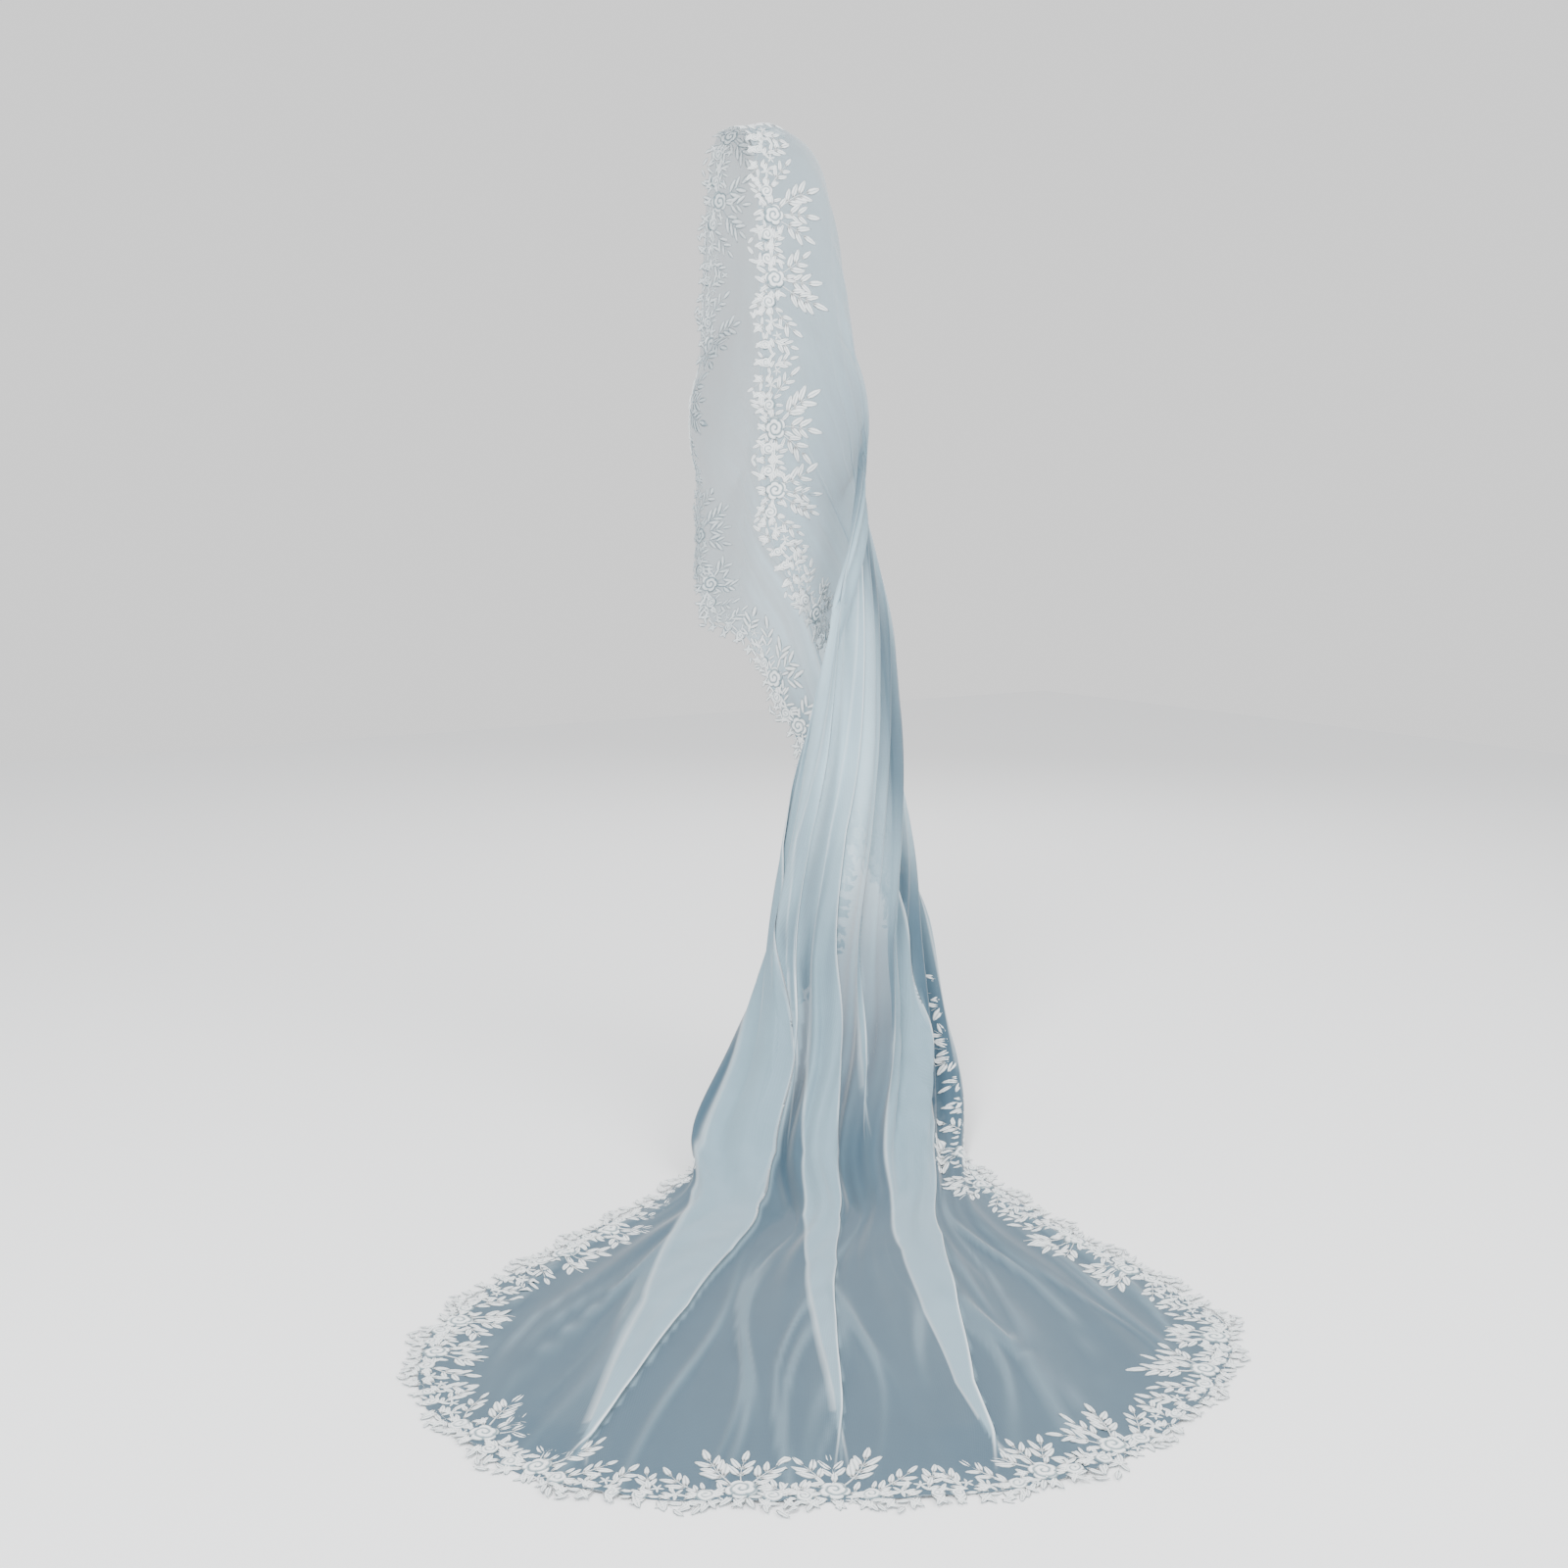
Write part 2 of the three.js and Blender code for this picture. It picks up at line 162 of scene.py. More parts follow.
def bareSheet(rows, columns, steps=192):
    # The stations run down the sheet on splines, each section is a spline through its five stations, and
    # points are spread evenly along it by the distance walked
    turn = math.radians(drape["trainTurn"])
    across, out, z = np.moveaxis(np.array(fallSections, float), 2, 0)
    fallen = np.stack([across * math.cos(turn) + out * math.sin(turn),
                       across * math.sin(turn) - out * math.cos(turn), z], axis=-1)
    sections = np.concatenate([np.array(upperSections, float), fallen])
    section = np.linspace(0, len(sections) - 1, rows + 1)
    stations = splineThrough(sections, section)
    curves = splineThrough(np.moveaxis(stations, 1, 0), np.linspace(0, 4, steps + 1))
    curves = keepHollow(np.moveaxis(curves, 0, 1))
    walked = np.cumsum(np.linalg.norm(np.diff(curves, axis=1), axis=2), axis=1)
    walked = np.concatenate([np.zeros((rows + 1, 1)), walked], axis=1)
    lengths = walked[:, -1:]
    rowStart = 2.0 * np.arange(rows + 1)[:, None]
    known = (walked / lengths + rowStart).ravel()
    asked = (np.linspace(0, 1, columns + 1) + rowStart).ravel()
    points = np.stack([np.interp(asked, known, curves[..., k].ravel()) for k in range(3)], axis=-1)
    points = points.reshape(rows + 1, columns + 1, 3)
    perRow, perColumn = np.gradient(points, axis=0), np.gradient(points, axis=1)
    return {"points": points, "perRow": perRow, "perColumn": perColumn,
            "normal": unit(np.cross(perColumn, perRow)), "lengths": lengths, "section": section[:, None]}


def pleatReach(pleat, section):
    # How wide a pleat lies doubled in mm, and how far it shifts the cloth for that
    overlap = np.interp(section, pleatSections, pleat["overlap"])
    turns = pleatForm["perWidth"] * pleat["width"] * np.minimum(overlap / 10, 1)
    return overlap, pleatForm["perOverlap"] * overlap + turns


def bandEnd(pleat, section):
    # Where the doubled band ends on its top layer, in widths from the pleat's middle: Newton's steps towards
    # the x at which x - (reach / width) x exp(-x^2) is half the overlap over the width
    overlap, reach = pleatReach(pleat, section)
    ratio, aim = reach / pleat["width"], overlap / 2 / pleat["width"]
    x = np.full_like(aim, pleatForm["span"])
    for step in range(12):
        bell = ratio * np.exp(-x * x)
        x = np.clip(x - (x * (1 - bell) - aim) / np.maximum(1 - bell * (1 - 2 * x * x), 0.2), 0.9, 4)
    return x


def shareColumns(section, lengths, columns):
    # Each pleat has columns of its own, which run down with it, one of them along the end of its band. The
    # rest are even between the pleats.
    spare = columns - sum(pleat["columns"] for pleat in pleats)
    centres = [np.interp(section, pleatSections, pleat["share"]) for pleat in pleats]
    widths = [pleat["width"] for pleat in pleats]
    fences = [0 * section]
    for k in range(len(pleats) - 1):
        fences.append(centres[k] + (centres[k + 1] - centres[k]) * widths[k] / (widths[k] + widths[k + 1]))
    fences.append(0 * section + 1)
    keyColumns, keyShares = [0], [fences[0]]
    for k, pleat in enumerate(pleats):
        reach = pleatForm["span"] * widths[k] / lengths
        low = np.minimum(reach, pleatForm["toNeighbour"] * (centres[k] - fences[k]))
        high = np.minimum(reach, pleatForm["toNeighbour"] * (fences[k + 1] - centres[k]))
        start = keyColumns[-1] + round(gapShares[k] * spare)
        half = pleat["columns"] // 2
        end = bandEnd(pleat, section) * widths[k] / lengths
        keyColumns += [start, start + half, start + round(pleatForm["bandColumn"] * half), start + 2 * half]
        keyShares += [centres[k] - low, centres[k]]
        keyShares += [centres[k] + np.minimum(end, 0.9 * high), centres[k] + high]
    keyColumns.append(columns)
    keyShares.append(fences[-1])
    shares = np.zeros((len(section), columns + 1))
    for c in range(len(keyColumns) - 1):
        inside = np.arange(keyColumns[c], keyColumns[c + 1] + 1)
        t = (inside - inside[0]) / (inside[-1] - inside[0])
        shares[:, inside] = keyShares[c][:, None] * (1 - t) + keyShares[c + 1][:, None] * t
    return shares


def unit(vectors):
    return vectors / np.maximum(np.linalg.norm(vectors, axis=-1, keepdims=True), 1e-9)


def smoothStep(x):
    x = np.clip(x, 0, 1)
    return x * x * (3 - 2 * x)


def sample(grid, row, column):
    # Between the grid's points in a straight line, and straight on beyond its edge
    i = np.clip(np.floor(row).astype(int), 0, grid.shape[0] - 2)
    j = np.clip(np.floor(column).astype(int), 0, grid.shape[1] - 2)
    s, t = (row - i)[..., None], (column - j)[..., None]
    top = grid[i, j] * (1 - t) + grid[i, j + 1] * t
    return top * (1 - s) + (grid[i + 1, j] * (1 - t) + grid[i + 1, j + 1] * t) * s


def softFolds(row, share, raised=0):
    # A place on the sheet, moved along its normal by broad and fine waves and the low ridges of the train,
    # kept above the floor, and then raised by its pleat
    section = row / drape["rows"] * (len(upperSections) + len(fallSections) - 1)
    lengths = np.interp(row, np.arange(drape["rows"] + 1), bare["lengths"][:, 0])
    fromEdge = np.minimum(share, 1 - share) * lengths
    fade = smoothStep((fromEdge - drape["laceWidth"] * 0.5) / (1.2 * drape["laceWidth"]))
    broad = np.interp(section, foldDepths["section"], foldDepths["broad"])
    fine = np.interp(section, foldDepths["section"], foldDepths["fine"])
    sway = 0.16 * np.sin(0.7 * section + 9 * share) + 0.1 * np.sin(1.9 * section + 23 * share)
    lift = fade * broad * np.cos(2 * math.pi * 7 * share)
    uneven = 0.65 + 0.35 * np.sin(2 * math.pi * 3.3 * share + 0.8 * section)
    lift += (0.2 + 0.8 * fade) * fine * uneven * np.cos(2 * math.pi * (21 * share + sway))
    lift += trainWrinkles(share, section, lengths)
    normal = unit(sample(bare["normal"], row, share * drape["columns"]))
    place = sample(bare["points"], row, share * drape["columns"]) + normal * lift[..., None]
    place[..., 2] = np.maximum(place[..., 2], drape["wall"] - drape["fallHeight"])
    return place + normal * np.broadcast_to(raised, lift.shape)[..., None]


def foldSheet():
    # The sheet with its pleats: each shifts the cloth across by -A x exp(-x^2), with x the distance from its
    # middle over its width, which doubles the cloth back where A is more than the width. The far side of the
    # pleat rises so that its layers lie on each other.
    lengths, section = bare["lengths"], bare["section"]
    share = shareColumns(section[:, 0], lengths[:, 0], drape["columns"])
    shift, raised, banded, foldHighlight = (np.zeros_like(share) for _ in range(4))
    for pleat in pleats:
        overlap, reach = pleatReach(pleat, section)
        centre = np.interp(section, pleatSections, pleat["share"])
        x = (share - centre) * lengths / pleat["width"]
        moved = -reach * x * np.exp(-x * x)
        shift += moved
        shown = np.minimum(overlap / pleatForm["shownFrom"], 1)
        farSide = 0.5 * (1 + np.tanh(2.2 * x)) * np.exp(-(np.maximum(x, 0) / pleatForm["span"]) ** 2)
        raised += shown * pleat["rise"] * farSide
        off = np.abs(moved + x * pleat["width"]) / np.maximum(overlap / 2, 1e-3)
        banded = np.maximum(banded, shown * smoothStep((1.06 - off) / 0.14))
        # Its turned edges get a painted highlight, near white in the tulle's colour, and more cover
        turned = np.exp(-((np.abs(x) - 0.62) / 0.08) ** 2)
        turned = turned + 0.35 * (x > 1) * np.exp(-((off - 0.98) / 0.07) ** 2)
        foldHighlight = np.maximum(foldHighlight, np.minimum(shown * turned, 1))
    row = np.arange(drape["rows"] + 1.0)[:, None] + 0 * share
    points = softFolds(row, np.clip(share + shift / lengths, 0, 1), raised)
    return {"points": points, "section": section, "share": share, "banded": banded, "foldHighlight": foldHighlight}


ridges = np.stack([rng.uniform(low, high, ridgeCount) for low, high in ridgeRange.values()], axis=1)


def trainWrinkles(share, section, lengths):
    # Low ridges on the floor, each a bell across its line that fades in and out along it
    lift = np.zeros_like(share)
    for centre, start, end, width, height in ridges:
        bend = centre + 0.02 * np.sin(1.7 * section + 40 * centre)
        bell = np.exp(-((share - bend) * lengths / width) ** 2)
        halfWay, reach = (start + end) / 2, abs(end - start) / 2 + 0.4
        lift += height * bell * np.exp(-((section - halfWay) / reach) ** 2)
    return lift


bare = bareSheet(drape["rows"], drape["columns"])
sheet = foldSheet()
print("sheet worked out:", sheet["points"].shape)


def meshFrom(name, points, faces, uv=None, attributes=None):
    # Puts whole arrays into a mesh, in metres, with smooth faces
    mesh = bpy.data.meshes.new(name)
    size = faces.shape[1]
    mesh.vertices.add(len(points))
    mesh.vertices.foreach_set("co", (points * mm).astype(np.float32).ravel())
    mesh.loops.add(faces.size)
    mesh.loops.foreach_set("vertex_index", faces.astype(np.int32).ravel())
    mesh.polygons.add(len(faces))
    mesh.polygons.foreach_set("loop_start", np.arange(0, faces.size, size, dtype=np.int32))
    mesh.polygons.foreach_set("use_smooth", np.ones(len(faces), bool))
    if uv is not None:
        layer = mesh.uv_layers.new(name="UVMap")
        layer.data.foreach_set("uv", uv[faces.ravel()].astype(np.float32).ravel())
    for key, values in (attributes or {}).items():
        layer = mesh.attributes.new(key, "FLOAT", "POINT")
        layer.data.foreach_set("value", values.astype(np.float32).ravel())
    mesh.update()
    mesh.validate()
    piece = bpy.data.objects.new(name, mesh)
    bpy.context.collection.objects.link(piece)
    return piece


def gridFaces(rows, columns):
    # Quads of a grid with rows by columns cells
    corner = np.arange(rows * (columns + 1)).reshape(rows, columns + 1)[:, :-1].ravel()
    return np.stack([corner, corner + 1, corner + columns + 2, corner + columns + 1], axis=1)


# Materials

def linear(hexColour):
    # sRGB hex to linear RGBA
    channels = [int(hexColour[i:i + 2], 16) / 255 for i in (1, 3, 5)]
    return tuple(c / 12.92 if c <= 0.04045 else ((c + 0.055) / 1.055) ** 2.4 for c in channels) + (1.0,)


def addNode(material, kind, settings=None, links=None):
    # Adds a node, sets its sockets and fields, and links sockets from other nodes
    node = material.node_tree.nodes.new(kind)
    for key, value in (settings or {}).items():
        if isinstance(key, str) and hasattr(node, key):
            setattr(node, key, value)
        else:
            node.inputs[key].default_value = value
    for key, (other, socket) in (links or {}).items():
        material.node_tree.links.new(other.outputs[socket], node.inputs[key])
    return node


def newMaterial(name):
    # An empty material, for addNode to fill
    material = bpy.data.materials.new(name)
    material.use_nodes = True
    material.node_tree.nodes.clear()
    return material


tulleLook = {
    "singleShaded": "#3f5868",      # one layer over the floor: the net's blue-grey, darkened as painted shade
    "hazy": "#aecad7",        # gathered net in the light, a painted light tone
    "layered": "#829dab",     # pleats, where layers lie on each other
    "foldHighlightTone": "#e2ebef",     # the turned edge of a pleat, painted near white as a highlight
    "net": 2.2,               # mm between meshes; a real net has 1.2, too fine to show here
}


def tulleMaterial():
    # Nylon bobbinet: sheer, cool, with a soft bloom at grazing angles and paler where layers lie together,
    # with painted shade, painted light and painted highlights in its colour
    material = newMaterial("nylonTulle")
    uv = addNode(material, "ShaderNodeUVMap", {"uv_map": "UVMap"})
    net = addNode(material, "ShaderNodeTexVoronoi",
                  {"voronoi_dimensions": "2D", "feature": "DISTANCE_TO_EDGE", "Scale": 1 / tulleLook["net"],
                   "Randomness": 0.12}, {"Vector": (uv, "UV")})
    thread = addNode(material, "ShaderNodeMapRange",
                     {"From Min": 0.04, "From Max": 0.16, "To Min": 1.0, "To Max": 0.0},
                     {"Value": (net, "Distance")})
    cloud = addNode(material, "ShaderNodeTexNoise", {"Scale": 0.012, "Detail": 3.0}, {"Vector": (uv, "UV")})
    band = addNode(material, "ShaderNodeAttribute", {"attribute_name": "banded"})
    edge = addNode(material, "ShaderNodeAttribute", {"attribute_name": "foldHighlight"})
    sheer = addNode(material, "ShaderNodeAttribute", {"attribute_name": "cover"})
    # Painted light: whiter where the fall hangs in the light
    litHaze = addNode(material, "ShaderNodeAttribute", {"attribute_name": "litHaze"})
    # Painted shade in the single-layer tone, mixed towards a whiter tone as painted light where the fall is
    # lit
    tone = addNode(material, "ShaderNodeMix",
                   {"data_type": "RGBA", "clamp_factor": False, 6: linear(tulleLook["singleShaded"]),
                    7: linear(tulleLook["hazy"])},
                   {0: (litHaze, "Fac")})
    tone = addNode(material, "ShaderNodeMix",
                   {"data_type": "RGBA", 7: linear(tulleLook["layered"])}, {0: (band, "Fac"), 6: (tone, 2)})
    # Painted highlight on the turned edges of the pleats
    tone = addNode(material, "ShaderNodeMix",
                   {"data_type": "RGBA", 7: linear(tulleLook["foldHighlightTone"])}, {0: (edge, "Fac"), 6: (tone, 2)})
    mottle = addNode(material, "ShaderNodeMapRange", {"To Min": 0.9, "To Max": 1.1},
                     {"Value": (cloud, "Fac")})
    tone = addNode(material, "ShaderNodeVectorMath", {"operation": "SCALE"},
                   {0: (tone, 2), "Scale": (mottle, "Result")})
    weave = addNode(material, "ShaderNodeMath", {"operation": "MULTIPLY_ADD", "use_clamp": True, 1: 0.12},
                    {0: (thread, "Result"), 2: (sheer, "Fac")})
    bump = addNode(material, "ShaderNodeBump", {"Strength": 0.15, "Distance": 0.0002},
                   {"Height": (thread, "Result")})
    shader = addNode(material, "ShaderNodeBsdfPrincipled",
                     {"Roughness": 0.75, "Sheen Weight": 0.5, "Sheen Roughness": 0.4,
                      "Specular IOR Level": 0.2},
                     {"Base Color": (tone, 0), "Alpha": (weave, 0), "Normal": (bump, "Normal")})
    addNode(material, "ShaderNodeOutputMaterial", {}, {"Surface": (shader, "BSDF")})
    return material


laceLook = {
    "thread": "#fdfefd",
    "shade": "#cfd8db",
    "outline": "#73878f",     # between padded parts, where the net shows, and painted shade in the rims and grooves
    "stitch": 0.9,            # mm between satin stitches
}


def laceMaterial():
    # Satin-stitched viscose on net: matt white with fine slanting threads, and painted shade along rims and
    # grooves
    material = newMaterial("embroideredViscose")
    uv = addNode(material, "ShaderNodeUVMap", {"uv_map": "UVMap"})
    stitch = addNode(material, "ShaderNodeTexWave",
                     {"wave_type": "BANDS", "bands_direction": "DIAGONAL", "Scale": 0.3 / laceLook["stitch"],
                      "Distortion": 1.5, "Detail": 2.0}, {"Vector": (uv, "UV")})
    tone = addNode(material, "ShaderNodeMix",
                   {"data_type": "RGBA", 6: linear(laceLook["shade"]), 7: linear(laceLook["thread"])},
                   {0: (stitch, "Fac")})
    padAndShade = addNode(material, "ShaderNodeAttribute", {"attribute_name": "padAndShade"})
    # Painted shade where the pad is low: the rims and grooves of the motifs, where the net also shows
    rimShade = addNode(material, "ShaderNodeMapRange",
                  {"From Min": 0.1, "From Max": 0.7, "To Min": 1.0, "To Max": 0.0}, {"Value": (padAndShade, "Fac")})
    tone = addNode(material, "ShaderNodeMix", {"data_type": "RGBA", 7: linear(laceLook["outline"])},
                   {0: (rimShade, "Result"), 6: (tone, 2)})
    bump = addNode(material, "ShaderNodeBump", {"Strength": 0.4, "Distance": 0.0003},
                   {"Height": (stitch, "Fac")})
    shader = addNode(material, "ShaderNodeBsdfPrincipled",
                     {"Roughness": 0.65, "Sheen Weight": 0.25, "Specular IOR Level": 0.3},
                     {"Base Color": (tone, 2), "Normal": (bump, "Normal")})
    addNode(material, "ShaderNodeOutputMaterial", {}, {"Surface": (shader, "BSDF")})
    return material


def combMaterial():
    # Moulded polycarbonate: milky, glossy
    material = newMaterial("mouldedComb")
    place = addNode(material, "ShaderNodeTexCoord")
    grain = addNode(material, "ShaderNodeTexNoise", {"Scale": 300.0}, {"Vector": (place, "Object")})
    bump = addNode(material, "ShaderNodeBump", {"Strength": 0.1, "Distance": 0.0001},
                   {"Height": (grain, "Fac")})
    shader = addNode(material, "ShaderNodeBsdfPrincipled",
                     {"Base Color": linear("#e6ebec"), "Roughness": 0.25}, {"Normal": (bump, "Normal")})
    addNode(material, "ShaderNodeOutputMaterial", {}, {"Surface": (shader, "BSDF")})
    return material


def floorMaterial():
    # Pale painted studio floor
    material = newMaterial("paleFloor")
    shader = addNode(material, "ShaderNodeBsdfPrincipled",
                     {"Base Color": linear("#f2f3f4"), "Roughness": 0.9})
    addNode(material, "ShaderNodeOutputMaterial", {}, {"Surface": (shader, "BSDF")})
    return material


# Lace: motifs stamped on the sheet along its edge

lace = {
    "repeat": 182,            # mm from one cluster to the next
    "step": 6,                # mm between the rows of the band's grid
    "frontCorner": 105,       # mm cut off each corner of the sheet
    "trainCorner": 120,
    "steps": 18,              # of the grid inward
    "stepAlong": 2,           # mm between its columns
    "depth": 110,             # mm in from the edge where motifs may start
    "sideDepth": 76,          # less on the sides, where the sheet turns sharply behind the fall
    "bigRose": 30,            # mm across, from which a rose has the finer mesh
}


def evened(values, window):
    # Mean over neighbours round the closed edge
    return sum(np.roll(values, k, axis=0) for k in range(-window, window + 1)) / (2 * window + 1)


def edgeRound():
    # Runs round the sheet from the middle of its front right corner, in the grid's rows and columns. Each
    # corner is cut by a parabola that meets both edges.
    rows, columns = drape["rows"], drape["columns"]
    rowLength = np.linalg.norm(bare["perRow"], axis=2)
    columnLength = np.linalg.norm(bare["perColumn"], axis=2)
    corners = [(0, 0), (0, columns), (rows, columns), (rows, 0)]
    cuts = [lace["frontCorner"], lace["frontCorner"], lace["trainCorner"], lace["trainCorner"]]
    bends = []
    for k, (row, column) in enumerate(corners):
        step = np.array([cuts[k] / rowLength[row, column], cuts[k] / columnLength[row, column]])
        here = np.array([row, column], float)
        start = here + np.sign(np.array(corners[k - 1]) - here) * step
        end = here + np.sign(np.array(corners[(k + 1) % 4]) - here) * step
        t = np.linspace(0, 1, 41)[:, None]
        bends.append(start * (1 - t) ** 2 + 2 * here * t * (1 - t) + end * t**2)
    runs = [bends[0][20:]]
    marks = [0]
    for k in range(1, 5):
        t = np.linspace(0, 1, 900)[1:-1, None]
        runs.append(bends[k - 1][-1] * (1 - t) + bends[k % 4][0] * t)
        runs.append(bends[k % 4][:20])
        marks.append(sum(len(run) for run in runs))
        runs.append(bends[k % 4][20:] if k < 4 else bends[0][20:21])
    grid = np.concatenate(runs)
    points = sample(bare["points"], grid[:, 0], grid[:, 1])
    walked = np.concatenate([[0], np.cumsum(np.linalg.norm(np.diff(points, axis=0), axis=1))])
    count = int(walked[-1] / lace["stepAlong"])
    asked = np.arange(count) * walked[-1] / count
    grid = np.stack([np.interp(asked, walked, grid[:, k]) for k in range(2)], axis=1)
    return grid, walked[-1], [walked[mark] for mark in marks]


def edgeStrip():
    # The band of the sheet along its edge as a grid of its own: every 2 mm along, and every 6 mm inward. Each
    # step inward goes square to the edge, on the sheet.
    place, length, corners = edgeRound()
    points = sample(bare["points"], place[:, 0], place[:, 1])
    way = unit(evened(np.roll(points, -1, axis=0) - np.roll(points, 1, axis=0), 22))
    places = [place]
    for step in range(lace["steps"]):
        a = sample(bare["perRow"], place[:, 0], place[:, 1])
        b = sample(bare["perColumn"], place[:, 0], place[:, 1])
        inward = unit(evened(np.cross(np.cross(b, a), way), 8)) * lace["step"]
        aa, bb, ab = np.sum(a * a, 1), np.sum(b * b, 1), np.sum(a * b, 1)
        ia, ib = np.sum(inward * a, 1), np.sum(inward * b, 1)
        scale = np.maximum(aa * bb - ab * ab, 0.05 * aa * bb)
        move = np.stack([(ia * bb - ib * ab) / scale, (ib * aa - ia * ab) / scale], axis=1)
        place = place + evened(move, 4)
        place = np.clip(place, 0, [drape["rows"], drape["columns"]])
        places.append(place)
    places = np.stack(places, axis=1)
    points = softFolds(places[..., 0], places[..., 1] / drape["columns"])
    points = np.concatenate([points, points[:1]])
    along, deep = np.gradient(points, axis=0), np.gradient(points, axis=1)
    return {"points": points, "normals": unit(np.cross(along, deep)), "length": length, "corners": corners,
            "spacing": length / (len(points) - 1)}


def stitchOn(strip, points, at, depth, turn, size, bend):
    # Motif points are x, y and height in mm. Each motif is bent, turned and scaled, put at its distance along
    # the edge and depth inward, and laid on the sheet there.
    x, y, height = (points[None, :, k] * size[:, None] for k in range(3))
    y = y + bend[:, None] * x * x
    along = x * np.cos(turn)[:, None] - y * np.sin(turn)[:, None] + at[:, None]
    deep = x * np.sin(turn)[:, None] + y * np.cos(turn)[:, None] + depth[:, None]
    row, column = (along % strip["length"]) / strip["spacing"], deep / lace["step"]
    normal = unit(sample(strip["normals"], row, np.clip(column, 0, lace["steps"])))
    place = sample(strip["points"], row, column) + normal * height[..., None]
    place[..., 2] = np.maximum(place[..., 2], -drape["fallHeight"] + 0.02)
    return place


def leafMotif():
    # A pointed leaf 1 mm long, widest two fifths along, with two padded halves either side of a groove. Each
    # motif's points are x, y, height and pad, which is 1 where the stitching is full and 0 where it stops.
    # Where it is low the lace's colour is darkened towards the outline tone, as painted shade along the rims
    # and in the groove.
    along = np.array([0.12, 0.36, 0.62, 0.85])
    half = 0.19 * np.sin(math.pi * along**0.85) ** 0.9
    across = np.array([-1, -0.55, 0, 0.55, 1])
    top = np.array([0, 0.06, 0.024, 0.06, 0])
    x = np.concatenate([[0, 1], np.repeat(along, 5), along])
    y = np.concatenate([[0, 0], (half[:, None] * across).ravel(), np.zeros(4)])
    swell = np.sin(math.pi * along) ** 0.5
    z = np.concatenate([[0, 0], (swell[:, None] * top).ravel(), -0.03 * swell])
    padAndShade = np.concatenate([[0, 0], np.tile([0, 1, 0.25, 1, 0], 4), np.ones(4)])
    faces = []
    for c in range(4):
        faces.append([0, 2 + c, 3 + c][::-1])
        faces.append([1, 18 + c, 17 + c])
        for r in range(3):
            a = 2 + 5 * r + c
            faces += [[a, a + 5, a + 6], [a, a + 6, a + 1]]
    for r in range(3):
        a, under = 2 + 5 * r, 22 + r
        faces += [[a, under, under + 1], [a, under + 1, a + 5]]
        faces += [[a + 4, a + 9, under + 1], [a + 4, under + 1, under]]
    faces += [[0, 22, 2], [0, 6, 22], [1, 17, 25], [1, 25, 21]]
    return np.stack([x, y, z, padAndShade], axis=1), np.array(faces)


def roseMotif(petals, rings, sectors):
    # A rose 1 mm across. Its outline swells at each petal, and a groove winds in from it to the heart.
    radius = np.linspace(0, 1, rings + 1)[1:]
    angle = np.arange(sectors) * 2 * math.pi / sectors
    rho, theta = np.meshgrid(radius, angle, indexing="ij")
    lobe = np.abs(np.cos(petals * theta / 2)) ** 0.6
    outline = 0.5 * (1 - 0.2 * (1 - lobe) * rho)
    wind = 0.5 + 0.5 * np.cos(2 * math.pi * 2.1 * rho - theta)
    cleft = (1 - lobe) * np.clip((rho - 0.5) * 2, 0, 1)
    z = (0.045 + 0.045 * wind - 0.05 * cleft) * np.sqrt(np.clip(1.02 - rho**4, 0, 1))
    z[-1] = 0
    x, y = outline * rho * np.cos(theta), outline * rho * np.sin(theta)
    # Low in the winding groove, the clefts and the rim, which the lace's colour darkens as painted shade
    padAndShade = np.clip(1.25 * wind * (1 - 1.3 * cleft), 0, 1)
    padAndShade[-1] = 0
    ends = [[0, 0, 0.08, 1], [0, 0, -0.05, 1]]
    # The back has the same relief, lower, from the rim in to its heart
    top = np.stack([x, y, z, padAndShade], axis=2)
    under = np.stack([x, y, -0.55 * z, padAndShade], axis=2)[-2::-1]
    points = np.concatenate([ends, top.reshape(-1, 4), under.reshape(-1, 4)])
    here = np.arange(sectors)
    after = (here + 1) % sectors
    first, last = 2, 2 + (2 * rings - 2) * sectors
    faces = [np.stack([0 * here, first + here, first + after], 1),
             np.stack([0 * here + 1, last + after, last + here], 1)]
    for r in range(2 * rings - 2):
        a = first + r * sectors
        faces.append(np.stack([a + here, a + sectors + here, a + sectors + after], 1))
        faces.append(np.stack([a + here, a + sectors + after, a + after], 1))
    return points, np.concatenate(faces)


def stemMotif():
    # A cord 1 mm long with a three-sided section, thinner at its tip
    steps = 7
    x = np.repeat(np.linspace(0, 1, steps), 3)
    size = np.repeat(np.linspace(0.022, 0.01, steps), 3)
    y = size * np.tile([-1, 1, 0], steps)
    z = size * np.tile([0, 0, 1.2], steps) + 0.004
    faces = [[0, 1, 2], [3 * steps - 1, 3 * steps - 2, 3 * steps - 3]]
    for s in range(steps - 1):
        for a, b in ((0, 2), (2, 1), (1, 0)):
            p, q = 3 * s + a, 3 * s + b
            faces += [[p, q, q + 3], [p, q + 3, p + 3]]
    # Its pad of 0.6 gives the cord a little painted shade
    return np.stack([x, y, z, 0 * x + 0.6], axis=1), np.array(faces)


